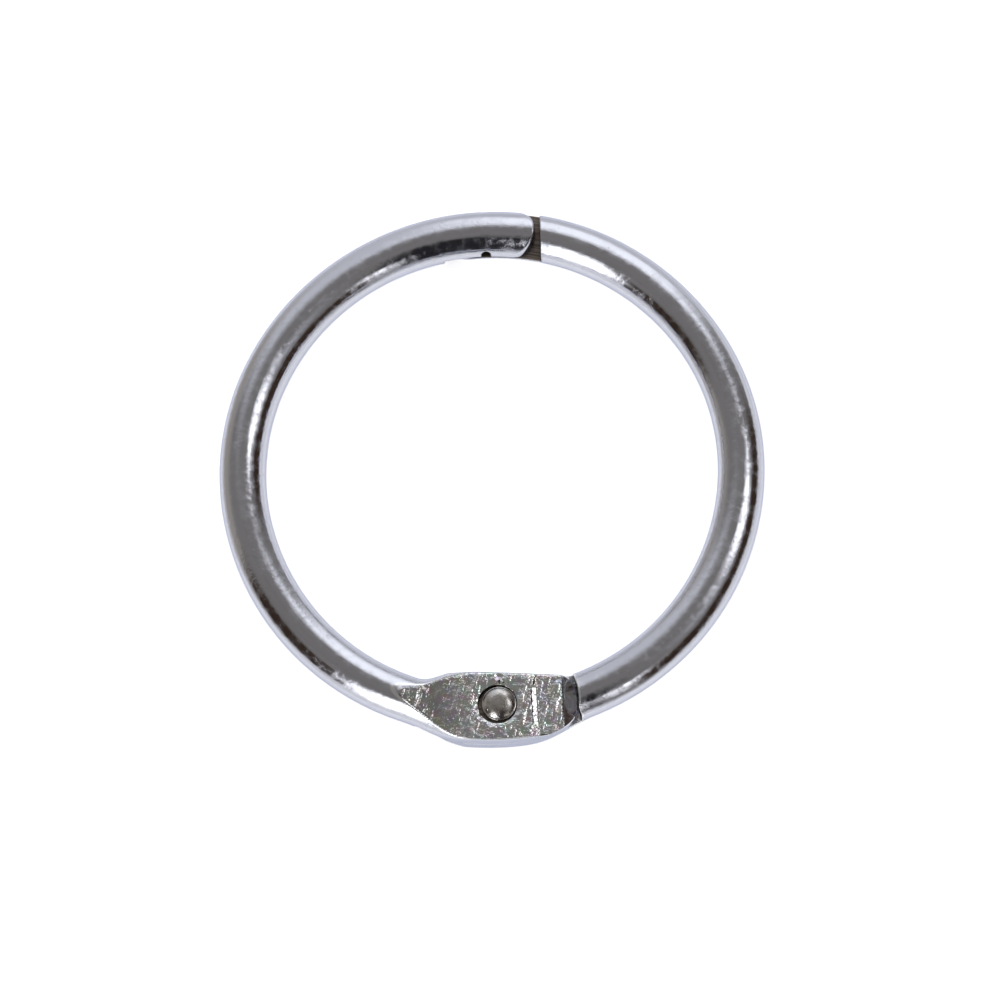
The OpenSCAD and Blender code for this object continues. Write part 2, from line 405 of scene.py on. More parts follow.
class Skin:
    """Quads over the zero surface of a distance field on a ring grid."""

    reach: float = 0.01
    settle_rounds: int = 5
    least_slope: float = 0.05
    longest_step: float = 0.04

    def __init__(self, grid: RingGrid, distance: Callable[[Points], Values]) -> None:
        """Skins the field.

        Args:
            grid: Where the field is looked at.
            distance: Gives the distances of points from the surface.
        """
        self.distance = distance
        self.axes = grid.axes()
        crossings, cells = self._crossings()
        used, corners = np.unique(cells, return_inverse=True)
        corners = corners.reshape(cells.shape)
        count = np.bincount(corners.ravel(), minlength=len(used))
        places = np.stack(
            [
                np.bincount(corners.ravel(), np.repeat(crossings[:, axis], 4), len(used)) / count
                for axis in range(3)
            ],
            axis=1,
        )
        self.quads = corners
        self.vertices = self._settle(self._to_points(places))
        self.normals = self._unit(self.slope(self.vertices))

    def slope(self, points: Points) -> Points:
        """Direction in which the distance grows at each point."""
        rises = [self.distance(points + s) - self.distance(points - s) for s in np.eye(3) * self.reach]
        return np.stack(rises, axis=1) / (2 * self.reach)

    def bend(self, points: Points, reach: float) -> Values:
        """Sum of the surface's two curvatures at each point, in 1/mm, positive on an outside edge.

        Args:
            points: Points in millimetres.
            reach: How far from each point the field is looked at.

        Returns:
            The sums.
        """
        shifts = np.eye(3) * reach
        total = -2.0 * len(shifts) * self.distance(points)
        for shift in shifts:
            total = total + self.distance(points + shift) + self.distance(points - shift)
        return total / (reach * reach)

    @staticmethod
    def _unit(vectors: Points) -> Points:
        """The vectors at length one."""
        return vectors / np.maximum(np.linalg.norm(vectors, axis=1, keepdims=True), LEAST_LENGTH)

    def _to_points(self, places: Points) -> Points:
        """Points in millimetres at fractional places in the grid.

        Args:
            places: Node numbers along the grid's axes, with fractions.

        Returns:
            The points.
        """
        radius, polar, height = (
            np.interp(places[:, axis], np.arange(len(nodes)), nodes) for axis, nodes in enumerate(self.axes)
        )
        return np.stack([radius * np.cos(polar), radius * np.sin(polar), height], axis=1)

    def _node_values(self) -> Values:
        """The field at every node of the grid.

        Returns:
            Distances, by radius, angle and height.
        """
        radius, polar, height = np.meshgrid(*self.axes, indexing="ij")
        points = np.stack([radius * np.cos(polar), radius * np.sin(polar), height], axis=-1)
        return self.distance(points.reshape(-1, 3)).reshape(radius.shape)

    def _crossings(self) -> tuple[Points, np.ndarray]:
        """Where the surface crosses the grid's edges.

        Returns:
            The crossing places, and for each the four cells round its edge, in the order of a quad
            that faces outwards.
        """
        values = self._node_values()
        inside = values < 0
        shape = np.array(values.shape) - 1
        places, rings = [], []
        for axis in range(3):
            low = [slice(None)] * 3
            high = [slice(None)] * 3
            low[axis], high[axis] = slice(None, -1), slice(1, None)
            low, high = tuple(low), tuple(high)
            at = np.argwhere(inside[low] != inside[high])
            before = values[low][tuple(at.T)]
            after = values[high][tuple(at.T)]
            place = at.astype(float)
            place[:, axis] += before / (before - after)
            places.append(place)
            ring = np.repeat(at[:, None, :], 4, axis=1)
            across, onward = (axis + 1) % 3, (axis + 2) % 3
            ring[:, :, across] -= np.array([1, 0, 0, 1])
            ring[:, :, onward] -= np.array([1, 1, 0, 0])
            ring[before > 0] = ring[before > 0][:, ::-1]
            rings.append(np.ravel_multi_index(tuple(np.moveaxis(ring, 2, 0)), tuple(shape)))
        return np.concatenate(places), np.concatenate(rings)

    def _settle(self, points: Points) -> Points:
        """The points moved along the field's slope until they lie on the surface.

        Args:
            points: Points close to the surface.

        Returns:
            The points on it.
        """
        for _ in range(self.settle_rounds):
            slope = self.slope(points)
            steep = np.maximum((slope * slope).sum(axis=1), self.least_slope)
            step = np.clip(self.distance(points) / steep, -self.longest_step, self.longest_step)
            points = points - step[:, None] * slope
        return points


# Pieces


class Zone(Enum):
    """Named share of a surface that a finish can treat by itself."""

    STAMPED = "stamped"
    # painted shade: cut faces in the gaps, the hollows and the seat get a dark brown base colour for the
    # shade that falls there
    PAINTED_SHADE = "sheared"
    # painted highlight: sharp edges, the die's step and the end bevel get a lighter, glint-coloured base
    # colour
    EDGE = "edge"


def piece_from_skin(
    name: str, vertices: Points, quads: Any, normals: Points | None, zones: dict[Zone, Values]
) -> bpy.types.Object:
    """A smooth mesh piece.

    Args:
        name: The piece's name.
        vertices: Points in millimetres.
        quads: Corner numbers of each face.
        normals: Direction of the surface at each vertex, or None to take the mesh's own.
        zones: Share of each zone at each vertex.

    Returns:
        The new object, in metres.
    """
    mesh = bpy.data.meshes.new(name)
    mesh.from_pydata((vertices * MM).tolist(), [], [list(map(int, quad)) for quad in quads])
    mesh.polygons.foreach_set("use_smooth", np.ones(len(mesh.polygons), dtype=bool))
    for zone, share in zones.items():
        layer = mesh.attributes.new(zone.value, "FLOAT", "POINT")
        layer.data.foreach_set("value", np.clip(share, 0.0, 1.0).astype(np.float32))
    if normals is not None:
        mesh.normals_split_custom_set_from_vertices(normals.tolist())
    mesh.update()
    piece = bpy.data.objects.new(name, mesh)
    bpy.context.scene.collection.objects.link(piece)
    return piece


@dataclass(frozen=True)
class MarkSizes:
    """How far the zones of a half's surface spread, and how much of each its faces take."""

    depth: float = 0.03
    # share of painted shade on the shoulders that the other tab turns against
    shoulder_painted_shade: float = 0.15
    shoulder_struck: float = 0.7
    bevel_smooth: float = 0.9
    # share of painted highlight on the end bevel, lightening its base colour
    bevel_highlight: float = 0.5
    bevel_blend: Range = (-0.03, 0.06)
    mouth_drop: float = 0.02
    under_die: Range = (-0.01, 0.02)
    die_depth: Range = (-0.2, -0.1)
    # curvature at which an edge gets its painted highlight
    bend_reach: float = 0.05
    edge_bend: Range = (2.0, 7.0)


@dataclass(frozen=True)
class HalfRing:
    """One half of the ring: round wire, rounded nose, half-thick lap, pressed tab and rivet seat.

    It is worked out as it leaves the press, to the left and in the upper layer. The right half is the
    same blank turned over about the ring's upright axis.
    """

    node: str
    body: str
    slot: str
    side: Side
    wire: WireSizes
    clasp: ClaspSizes
    tab: TabSizes
    seat: SeatSizes
    marks: MarkSizes = MarkSizes()

    @property
    def lap_shift(self) -> float:
        """Shift of the lap's middle, in the blank's own frame."""
        return self.clasp.lap_shift * self.side.value

    def forging(self, points: Points) -> Values:
        """Distances from the wire with its nose and flared tab, before the die and the cuts.

        Args:
            points: Points in millimetres.

        Returns:
            The distances.
        """
        wire, tab = self.wire, self.tab
        x, y, height = points.T
        turn = turn_from_hinge(x, y)
        rho = np.hypot(x, y) + wire.sway(turn, wire.wander_out)
        z = height + wire.sway(turn, wire.wander_up)
        chord = 2 * wire.ring_r * np.sin(turn / 2)
        inner_blend = smooth_step(tab.flare_end - chord, 0.0, tab.flare_length)
        outer_blend = smooth_step(-chord, -tab.outer_flare_end, -tab.outer_flare_start)
        square = smooth_step(-chord, -tab.square_end, -tab.square_start)
        power = 1 / (1 / ROUND_POWER + (1 / tab.flare_power - 1 / ROUND_POWER) * square)
        inside = tab.inside_edge(turn, wire.ring_r)
        inner = (1 - inner_blend) * (wire.ring_r - wire.wire_r) + inner_blend * inside
        outside = tab.width / 2 - tab.shift - tab.outer_inset
        outer = wire.ring_r + (1 - outer_blend) * wire.wire_r + outer_blend * outside
        half_w = (outer - inner) / 2
        aside = rho - (inner + outer) / 2
        off = np.abs(aside)
        swept = self._rounded_section(off, np.abs(z), half_w, power)
        swept = swept + (1 - outer_blend) * wire.flattening(turn, aside, z)
        hub = np.hypot(x, y + wire.hinge_r)
        end = np.where((x > 0) & (y < 0), hub - tab.reach, -FAR)
        corner_r = np.where(rho > wire.ring_r, tab.outer_corner_r, tab.inner_corner_r)
        swept = np.maximum(swept, meet(off - half_w, end, corner_r))
        return self._with_nose(swept, x, y, z)

    def _rounded_section(self, off: Values, z: Values, half_w: Values, power: Values) -> Values:
        """Distances from a section that is round at power 2 and squared at a high power.

        Args:
            off: Distances aside from the section's middle.
            z: Distances above or below it.
            half_w: Half the section's width.
            power: How square the section is.

        Returns:
            The distances.
        """
        u, v = off / half_w, z / self.wire.wire_r
        size = np.maximum((u**power + v**power) ** (1 / power), LEAST_SIZE)
        steep = np.hypot((u / size) ** (power - 1) / half_w, (v / size) ** (power - 1) / self.wire.wire_r)
        return (size - 1) / steep

    def _with_nose(self, swept: Values, x: Values, y: Values, z: Values) -> Values:
        """The swept wire, ended by a blunt nose at the clasp.

        Args:
            swept: Distances from the swept wire.
            x: Places across the ring.
            y: Places along the ring's upright axis.
            z: Heights above the wire's centre line.

        Returns:
            The distances.
        """
        wire, nose_round = self.wire, self.clasp.nose_round
        angle = math.asin((self.lap_shift + self.clasp.nose_x - nose_round) / wire.ring_r)
        turn = math.pi + angle
        onward = x * math.cos(angle) - y * math.sin(angle)
        rho = x * math.sin(angle) + y * math.cos(angle) + wire.sway(turn, wire.wander_out)
        off = rho - wire.ring_r
        around = np.hypot(off, z) - wire.wire_r + wire.flattening(turn, off, z)
        edge_r = self.clasp.nose_edge_r
        plan = meet(np.abs(off) - wire.wire_r - edge_r, onward - nose_round, nose_round)
        nose = meet(around, plan, edge_r)
        return np.where((onward > 0) & (y > 0), nose, swept)

    def catch(self, x: Values, y: Values, z: Values) -> Values:
        """Distances from the left half's catch groove, or from the right half's pip.

        Args:
            x: Places across the ring.
            y: Places along the ring's upright axis.
            z: Heights above the parting plane.

        Returns:
            The distances.
        """
        wire, clasp = self.wire, self.clasp
        if self.side is Side.LEFT:
            round_r = clasp.groove_w / 2
            round_z = wire.layer_z + clasp.groove_depth - round_r
            return np.hypot(x, np.maximum(z - round_z, 0.0)) - round_r
        return np.sqrt(x**2 + (y - wire.ring_r) ** 2 + (z - clasp.pip_sink) ** 2) - clasp.pip_r

    def fields(self, points: Points) -> dict[str, Values]:
        """Distances from each surface that shapes the half.

        Args:
            points: Points in millimetres.

        Returns:
            The distances, by the surface's name.
        """
        wire = self.wire
        x, y, z = points.T
        aside = y + wire.hinge_r
        hub = np.hypot(x, aside)
        lower = z - wire.layer_z
        at_hinge = y < 0
        shoulder = self.lap_shift - self.clasp.shoulder_x
        return {
            "forging": self.forging(points),
            "die": np.where(at_hinge, z - self.tab.die_height(x, aside), -FAR),
            "hinge_room": np.where(at_hinge, np.maximum(hub - self.tab.shoulder_r(aside), lower), FAR),
            "lap_room": np.where(at_hinge, FAR, np.maximum(shoulder - x, lower)),
            "rivet_hole": np.where(at_hinge, self.seat.hole(hub, z), FAR),
            "catch": np.where(at_hinge, FAR, self.catch(x, y, z)),
        }

    def distance(self, points: Points) -> Values:
        """Distances from the finished half.

        Args:
            points: Points in millimetres.

        Returns:
            The distances, negative inside.
        """
        wire = self.wire
        part = self.fields(points)
        solid = meet(part["forging"], part["die"], wire.pressed_edge_r(points))
        for room in ("hinge_room", "lap_room", "rivet_hole"):
            solid = cut(solid, part[room], wire.sheared_edge_r)
        if self.side is Side.LEFT:
            return cut(solid, part["catch"], wire.sheared_edge_r)
        return join(solid, part["catch"], wire.sheared_edge_r)

    def zones(self, skin: Skin) -> dict[Zone, Values]:
        """Share of each zone at the skin's vertices.

        Args:
            skin: The half's skin.

        Returns:
            The shares, by zone.
        """
        part, marks = self.fields(skin.vertices), self.marks
        near = {name: np.exp(-((values / marks.depth) ** 2)) for name, values in part.items()}
        # Painted shade: the shoulders, the lap's cut face, the rivet hole and the catch groove get a dark
        # base colour for the shade in these gaps and hollows.
        shoulder = marks.shoulder_painted_shade * near["hinge_room"]
        sheared = np.maximum.reduce([shoulder, near["lap_room"], near["rivet_hole"]])
        if self.side is Side.LEFT:
            sheared = np.maximum(sheared, near["catch"])
        x, y, z = skin.vertices.T
        aside = y + self.wire.hinge_r
        in_mouth = np.hypot(x, aside) < self.seat.seat_r + 2 * self.seat.chamfer_w
        mouth = in_mouth & (z > self.seat.chamfer_z - marks.mouth_drop)
        under_die = smooth_step(part["die"] - part["forging"], *marks.under_die)
        struck = np.where(mouth, 1.0, under_die * smooth_step(part["die"], *marks.die_depth))
        bevel = smooth_step(x - self.tab.bevel_start, *marks.bevel_blend)
        grainy = struck * (1 - marks.bevel_smooth * bevel)
        # Painted highlight: the die's step and the end bevel are lightened, and so are sharp edges on the
        # hinge side.
        painted_highlight = near["die"] * np.maximum(self.tab.on_step(x, aside), marks.bevel_highlight * bevel)
        bend = smooth_step(skin.bend(skin.vertices, marks.bend_reach), *marks.edge_bend)
        return {
            Zone.STAMPED: np.maximum(grainy, marks.shoulder_struck * near["hinge_room"]),
            Zone.PAINTED_SHADE: np.where(mouth, 0.0, sheared),
            Zone.EDGE: np.maximum(bend * (1 - struck) * (y < 0), painted_highlight),
        }

    def build(self, material: bpy.types.Material) -> bpy.types.Object:
        """Skins the half, dresses it and puts it in its node's place.

        Args:
            material: The wire's finish.

        Returns:
            The new piece.
        """
        skin = Skin(RingGrid(self.wire.ring_r), self.distance)
        turned = np.array([self.side.value, 1.0, self.side.value])
        piece = piece_from_skin(
            f"{self.node}_skin", skin.vertices * turned, skin.quads, skin.normals * turned, self.zones(skin)
        )
        piece.data.materials.append(material)
        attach(piece, self.body)
        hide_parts(self.node)
        return piece


@dataclass(frozen=True)
class HingeRivet:
    """The rivet: a shank, a domed head that turns in the left tab and a flatter one set in the right."""

    node: str
    body: str
    slot: str
    hinge_y: float
    shank_r: float = 0.75
    head_r: float = 0.97
    dome_r: float = 1.5
    fixed_head_r: float = 1.07
    fixed_dome_r: float = 2.4
    seat_z: float = 0.5
    head_lift: float = 0.04
    rim_z: float = 0.88
    rim_edge_r: float = 0.07
    dome_power: float = 3.2
    head_aside: Pair = (0.09, 0.045)
    crown_aside: Pair = (0.02, 0.14)
    sides: int = 128
    dome_rings: int = 22
    rim_steps: int = 6
    sharp_angle: float = math.radians(40)

    def _dome(self, rim_r: float, dome_r: float, power: float) -> list[Pair]:
        """Radius and height over the rim along a dome, from the rim to just short of the axis.

        Args:
            rim_r: Radius of the dome's rim.
            dome_r: Radius of the ball that gives the dome its height.
            power: 2 for a ball's own curve, more for a crown that was hammered flatter.

        Returns:
            The points of the dome's outline.
        """
        rise = dome_r - math.sqrt(dome_r**2 - rim_r**2)
        shares = [1 - i / self.dome_rings for i in range(self.dome_rings)]
        return [(rim_r * share, rise * (1 - share**power)) for share in shares]

    def _rim(self, radius: float) -> list[Pair]:
        """Radius and drop along the rounded edge below a dome, from the side wall upwards.

        Args:
            radius: Radius of the side wall.

        Returns:
            The points of the edge's outline.
        """
        edge = self.rim_edge_r
        angles = [math.pi / 2 * i / self.rim_steps for i in range(self.rim_steps)]
        return [(radius - edge * (1 - math.cos(a)), edge * (math.sin(a) - 1)) for a in angles]

    def profile(self) -> list[Pair]:
        """Radius and height along the rivet's outline, from its lower end to its upper one.

        Returns:
            The points of the outline.
        """
        edge = self.rim_edge_r
        lower_dome = self._dome(self.fixed_head_r - edge, self.fixed_dome_r, ROUND_POWER)
        lower = [(r, -self.rim_z - rise) for r, rise in lower_dome]
        lower_rim = [(r, -self.rim_z - drop) for r, drop in self._rim(self.fixed_head_r)]
        upper_dome = self._dome(self.head_r - edge, self.dome_r, self.dome_power)
        upper = [(r, self.rim_z + rise) for r, rise in upper_dome]
        upper_rim = [(r, self.rim_z + drop) for r, drop in self._rim(self.head_r)]
        under_head = self.seat_z + self.head_lift
        shank = [
            (self.fixed_head_r, -self.seat_z),
            (self.shank_r, -self.seat_z),
            (self.shank_r, under_head),
            (self.head_r, under_head),
        ]
        return lower[::-1] + lower_rim[::-1] + shank + upper_rim + upper

    def _aside(self, outline: Points) -> Points:
        """How far each ring of the outline lies off the axis: the hand-set head is a little askew.

        Args:
            outline: Radius and height of each ring.

        Returns:
            Shift of each ring along x and y.
        """
        radius, height = outline.T
        on_head = (height > self.seat_z) & ((radius > self.shank_r) | (height > self.rim_z))
        on_crown = np.where(height > self.rim_z, 1 - (radius / self.head_r) ** 2, 0.0)
        return on_head[:, None] * np.array(self.head_aside) + on_crown[:, None] * np.array(self.crown_aside)

    def build(self, material: bpy.types.Material) -> bpy.types.Object:
        """Turns the outline about the rivet's axis, dresses it and puts it in its node's place.

        Args:
            material: The rivet's finish.

        Returns:
            The new piece.
        """
        outline = np.array(self.profile())
        around = np.linspace(0, 2 * math.pi, self.sides, endpoint=False)
        aside = self._aside(outline)
        rings = np.stack(
            [
                outline[:, None, 0] * np.cos(around) + aside[:, :1],
                outline[:, None, 0] * np.sin(around) + aside[:, 1:] + self.hinge_y,
                np.repeat(outline[:, None, 1], self.sides, axis=1),
            ],
            axis=-1,
        )
        rows, sides = rings.shape[:2]
        corner = np.arange(rows * sides).reshape(rows, sides)
        onward = np.roll(corner, -1, axis=1)
        walls = np.stack([corner[:-1], onward[:-1], onward[1:], corner[1:]], axis=-1).reshape(-1, 4)
        faces = walls.tolist() + [corner[0, ::-1].tolist(), corner[-1].tolist()]
        piece = piece_from_skin(f"{self.node}_skin", rings.reshape(-1, 3), faces, None, {})
        piece.data.set_sharp_from_angle(angle=self.sharp_angle)
        piece.data.materials.append(material)
        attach(piece, self.body)
        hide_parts(self.node)
        return piece


# Shader nodes


class Graph:
    """Short way to add and link the nodes of one tree. A mix node's sockets go by number."""

    colour_mix: tuple[int, int, int] = (0, 6, 7)
    number_mix: tuple[int, int, int] = (0, 2, 3)
    mixed_colour: int = 2

    def __init__(self, tree: bpy.types.NodeTree) -> None:
        """Takes the tree, and leaves its nodes as they are."""
        self.tree = tree

    def add(self, kind: str, inputs: dict[str | int, Any] | None = None, **settings: Any) -> bpy.types.Node:
        """Adds one node.

        Args:
            kind: The node's type.
            inputs: Socket to link or value to set, by input name or number.
            settings: The node's own properties.

        Returns:
            The new node.
        """
        node = self.tree.nodes.new(kind)
        for name, value in settings.items():
            setattr(node, name, value)
        for key, value in (inputs or {}).items():
            self.feed(node, key, value)
        return node

    def feed(self, node: bpy.types.Node, key: str | int, value: Any) -> None:
        """Links a socket to a node's input, or sets the input's value.

        Args:
            node: The node.
            key: The input's name or number.
            value: The socket or the value.
        """
        if isinstance(value, Socket):
            self.tree.links.new(value, node.inputs[key])
        else:
            node.inputs[key].default_value = value

    def math(self, operation: str, first: Any, second: Any = 0.0, third: Any = 0.0) -> Socket:
        """Result of a math node."""
        return self.add("ShaderNodeMath", {0: first, 1: second, 2: third}, operation=operation).outputs[0]

    def times(self, first: Any, second: Any) -> Socket:
        """Product of two numbers."""
        return self.math("MULTIPLY", first, second)

    def ramp(self, value: Any, low: Any, high: Any, to_low: Any = 0.0, to_high: Any = 1.0) -> Socket:
        """The value taken smoothly from one range to another."""
        inputs = {"Value": value, "From Min": low, "From Max": high, "To Min": to_low, "To Max": to_high}
        return self.add("ShaderNodeMapRange", inputs, interpolation_type="SMOOTHSTEP").outputs["Result"]

    def mix(self, share: Any, first: Any, second: Any, way: str = "MIX") -> Socket:
        """One colour going over into another, or laid over it in another way.

        Args:
            share: How far it has gone over.
            first: The colour at 0.
            second: The colour at 1.
            way: The node's way of mixing.

        Returns:
            The mixed colour.
        """
        node = self.add("ShaderNodeMix", data_type="RGBA", blend_type=way)
        for key, value in zip(self.colour_mix, (share, first, second)):
            is_colour = isinstance(value, tuple) and len(value) == 3
            self.feed(node, key, (*value, 1.0) if is_colour else value)
        return node.outputs[self.mixed_colour]

    def blend(self, share: Any, first: Any, second: Any) -> Socket:
        """One number going over into another."""
        inputs = dict(zip(self.number_mix, (share, first, second)))
        return self.add("ShaderNodeMix", inputs, data_type="FLOAT").outputs[0]

    def scaled(self, vector: Any, scale: Triple) -> Socket:
        """The vector with each axis multiplied by its own factor."""
        return self.add("ShaderNodeVectorMath", {0: vector, 1: scale}, operation="MULTIPLY").outputs[0]

    def noise(self, vector: Any, scale: Any, detail: Any = 2.0, rough: float = 0.5) -> Socket:
        """Value of a noise texture."""
        inputs = {"Vector": vector, "Scale": scale, "Detail": detail, "Roughness": rough}
        return self.add("ShaderNodeTexNoise", inputs).outputs[0]

    def axes(self, vector: Any) -> Any:
        """The vector's three parts."""
        return self.add("ShaderNodeSeparateXYZ", {0: vector}).outputs

    def radius(self, axis: Any) -> Socket:
        """Distance from the upright axis, from a vector's parts."""
        square = self.math("MULTIPLY_ADD", axis[0], axis[0], self.times(axis[1], axis[1]))
        return self.math("SQRT", square)

    def attribute(self, name: str) -> Socket:
        """A share that the mesh carries at its vertices."""
        return self.add("ShaderNodeAttribute", attribute_name=name).outputs["Fac"]

    def surface_mm(self) -> Socket:
        """Place on the piece, in millimetres."""
        position = self.add("ShaderNodeTexCoord").outputs["Object"]
        return self.scaled(position, (1 / MM, 1 / MM, 1 / MM))

    def feed_relief(self, shader: bpy.types.Node, height: Socket) -> None:
        """Gives a shader a fine relief, by its height in millimetres."""
        bump = self.add("ShaderNodeBump", {"Strength": 1.0, "Distance": MM, "Height": height})
        self.feed(shader, "Normal", bump.outputs[0])

    def place(self, group: bpy.types.NodeTree, inputs: dict[str, Any]) -> Any:
        """Puts a node group into the tree and gives its outputs."""
        return self.add("ShaderNodeGroup", inputs, node_tree=group).outputs


class Kind(Enum):
    """Type of a node group's socket."""

    FLOAT = "NodeSocketFloat"
    VECTOR = "NodeSocketVector"
    COLOUR = "NodeSocketColor"


class EffectGroup:
    """A shader node group with named inputs and outputs."""

    def __init__(self, name: str, inputs: dict[str, Kind], outputs: dict[str, Kind]) -> None:
        """Makes the group and its sockets.

        Args:
            name: The group's name.
            inputs: Socket type by input name.
            outputs: Socket type by output name.
        """
        self.tree = bpy.data.node_groups.new(name, "ShaderNodeTree")
        for way, sockets in (("INPUT", inputs), ("OUTPUT", outputs)):
            for socket, kind in sockets.items():
                self.tree.interface.new_socket(socket, in_out=way, socket_type=kind.value)
        self.graph = Graph(self.tree)
        self.inputs = self.graph.add("NodeGroupInput").outputs
        self._ends = self.graph.add("NodeGroupOutput")

    def put_out(self, name: str, value: Socket) -> None:
        """Links a result to one of the group's outputs."""
        self.graph.feed(self._ends, name, value)


def make_grain_group() -> bpy.types.NodeTree:
    """Grain of plated metal: a rough height, a mask of small pits and broad clouds.

    Returns:
        The group's node tree.
    """
    cloud_scale, pit_scale, pit_edge = 0.12, 0.35, (0.05, 0.28)
    group = EffectGroup(
        "plating_grain",
        {"Vector": Kind.VECTOR, "Grain": Kind.FLOAT, "Fineness": Kind.FLOAT, "Pits": Kind.FLOAT},
        {"Height": Kind.FLOAT, "Pit Mask": Kind.FLOAT, "Cloud": Kind.FLOAT},
    )
    g, given = group.graph, group.inputs
    scale = g.math("DIVIDE", 1.0, given["Grain"])
    fine = g.noise(given["Vector"], scale, detail=given["Fineness"], rough=0.65)
    cloud = g.noise(given["Vector"], g.times(scale, cloud_scale), detail=3.0, rough=0.6)
    cells = g.add(
        "ShaderNodeTexVoronoi", {"Vector": given["Vector"], "Scale": g.times(scale, pit_scale)}
    ).outputs
    spot = g.ramp(cells["Distance"], *pit_edge, 1.0, 0.0)
    lot = g.add("ShaderNodeSeparateColor", {0: cells["Color"]}).outputs[0]
    pit = g.times(spot, g.math("LESS_THAN", lot, given["Pits"]))
    group.put_out("Height", g.math("SUBTRACT", fine, pit))
    group.put_out("Pit Mask", pit)
    group.put_out("Cloud", cloud)
    return group.tree


def make_scratch_group() -> bpy.types.NodeTree:
    """Short straight scratches that run one way, as a mask and as a height.

    Returns:
        The group's node tree.
    """
    stretch = (1.0, 0.2, 0.2)
    rare, spread, edge = 0.72, 0.3, 0.1
    group = EffectGroup(
        "one_way_scratches",
        {"Vector": Kind.VECTOR, "Width": Kind.FLOAT, "Amount": Kind.FLOAT},
        {"Mask": Kind.FLOAT, "Height": Kind.FLOAT},
    )
    g, given = group.graph, group.inputs
    scale = g.math("DIVIDE", 1.0, given["Width"])
    streak = g.noise(g.scaled(given["Vector"], stretch), scale, detail=1.5, rough=0.6)
    low = g.math("SUBTRACT", rare, g.times(given["Amount"], spread))
    group.put_out("Mask", g.ramp(streak, low, g.math("ADD", low, edge)))
    group.put_out("Height", streak)
    return group.tree


def make_drawn_group() -> bpy.types.NodeTree:
    """Long faint lines that run round the ring with the wire, as left by the drawing die.

    Returns:
        The group's node tree.
    """
    group = EffectGroup(
        "drawn_wire_lines",
        {"Vector": Kind.VECTOR, "Width": Kind.FLOAT, "Length": Kind.FLOAT},
        {"Height": Kind.FLOAT},
    )
    g, given = group.graph, group.inputs
    axis = g.axes(given["Vector"])
    radius = g.radius(axis)
    along = g.math("DIVIDE", g.times(g.math("ARCTAN2", axis[1], axis[0]), radius), given["Length"])
    across = [g.math("DIVIDE", value, given["Width"]) for value in (radius, axis[2])]
    drawn = g.add("ShaderNodeCombineXYZ", {0: along, 1: across[0], 2: across[1]}).outputs[0]
    group.put_out("Height", g.noise(drawn, 1.0, detail=2.0, rough=0.6))
    return group.tree


def make_tint_group() -> bpy.types.NodeTree:
    """Play of cool, warm and green tints over a base colour, as on a worn plated face.

    Returns:
        The group's node tree.
    """
    group = EffectGroup(
        "plating_tints",
        {"Vector": Kind.VECTOR, "Grain": Kind.FLOAT, "Strength": Kind.FLOAT, "Color": Kind.COLOUR},
        {"Color": Kind.COLOUR},
    )
    g, given = group.graph, group.inputs
    inputs = {"Vector": given["Vector"], "Scale": g.math("DIVIDE", 1.0, given["Grain"]), "Detail": 0.4}
    cloud = g.add("ShaderNodeTexNoise", inputs).outputs["Color"]
    hue = g.add("ShaderNodeHueSaturation", {"Saturation": 1.3, "Color": cloud}).outputs[0]
    group.put_out("Color", g.mix(given["Strength"], given["Color"], hue, "OVERLAY"))
    return group.tree


def make_panel_group() -> bpy.types.NodeTree:
    """Soft-edged patch of the studio, as a mask over the directions of light, in degrees.

    Returns:
        The group's node tree.
    """
    half_turn = 180.0
    names = (
        "Ray Azimuth", "Ray Zenith", "Azimuth", "Half Width", "Zenith", "Half Height", "Slant", "Soft Edge"
    )
    group = EffectGroup("studio_panel", {name: Kind.FLOAT for name in names}, {"Mask": Kind.FLOAT})
    g, given = group.graph, group.inputs
    aside = g.math("SUBTRACT", given["Ray Azimuth"], given["Azimuth"])
    aside = g.math("WRAP", aside, half_turn, -half_turn)
    off_side = g.math("ABSOLUTE", aside)
    middle = g.math("MULTIPLY_ADD", aside, given["Slant"], given["Zenith"])
    off_height = g.math("ABSOLUTE", g.math("SUBTRACT", given["Ray Zenith"], middle))
    masks = []
    for off, half in ((off_side, given["Half Width"]), (off_height, given["Half Height"])):
        low = g.math("SUBTRACT", half, given["Soft Edge"])
        high = g.math("ADD", half, given["Soft Edge"])
        masks.append(g.ramp(off, low, high, 1.0, 0.0))
    group.put_out("Mask", g.times(*masks))
    return group.tree


@dataclass(frozen=True)
class Effects:
    """The node groups that the finishes share."""

    grain: bpy.types.NodeTree
    scratches: bpy.types.NodeTree
    drawn: bpy.types.NodeTree
    tints: bpy.types.NodeTree


@dataclass(frozen=True)
class GrainSizes:
    """Plating grain of one kind of face: size in millimetres, how fine it goes and its share of pits."""

    grain: float
    fineness: float
    pits: float

    def place(self, g: Graph, effects: Effects, at: Socket) -> Any:
        """Puts the grain into a material and gives its outputs."""
        inputs = {"Vector": at, "Grain": self.grain, "Fineness": self.fineness, "Pits": self.pits}
        return g.place(effects.grain, inputs)


def new_material(name: str) -> tuple[bpy.types.Material, Graph, bpy.types.Node]:
    """A material with only a plain shader in it.

    Args:
        name: The material's name.

    Returns:
        The material, its graph and its shader.
    """
    material = bpy.data.materials.new(name)
    material.use_nodes = True
    graph = Graph(material.node_tree)
    shader = material.node_tree.nodes["Principled BSDF"]
    return material, graph, shader


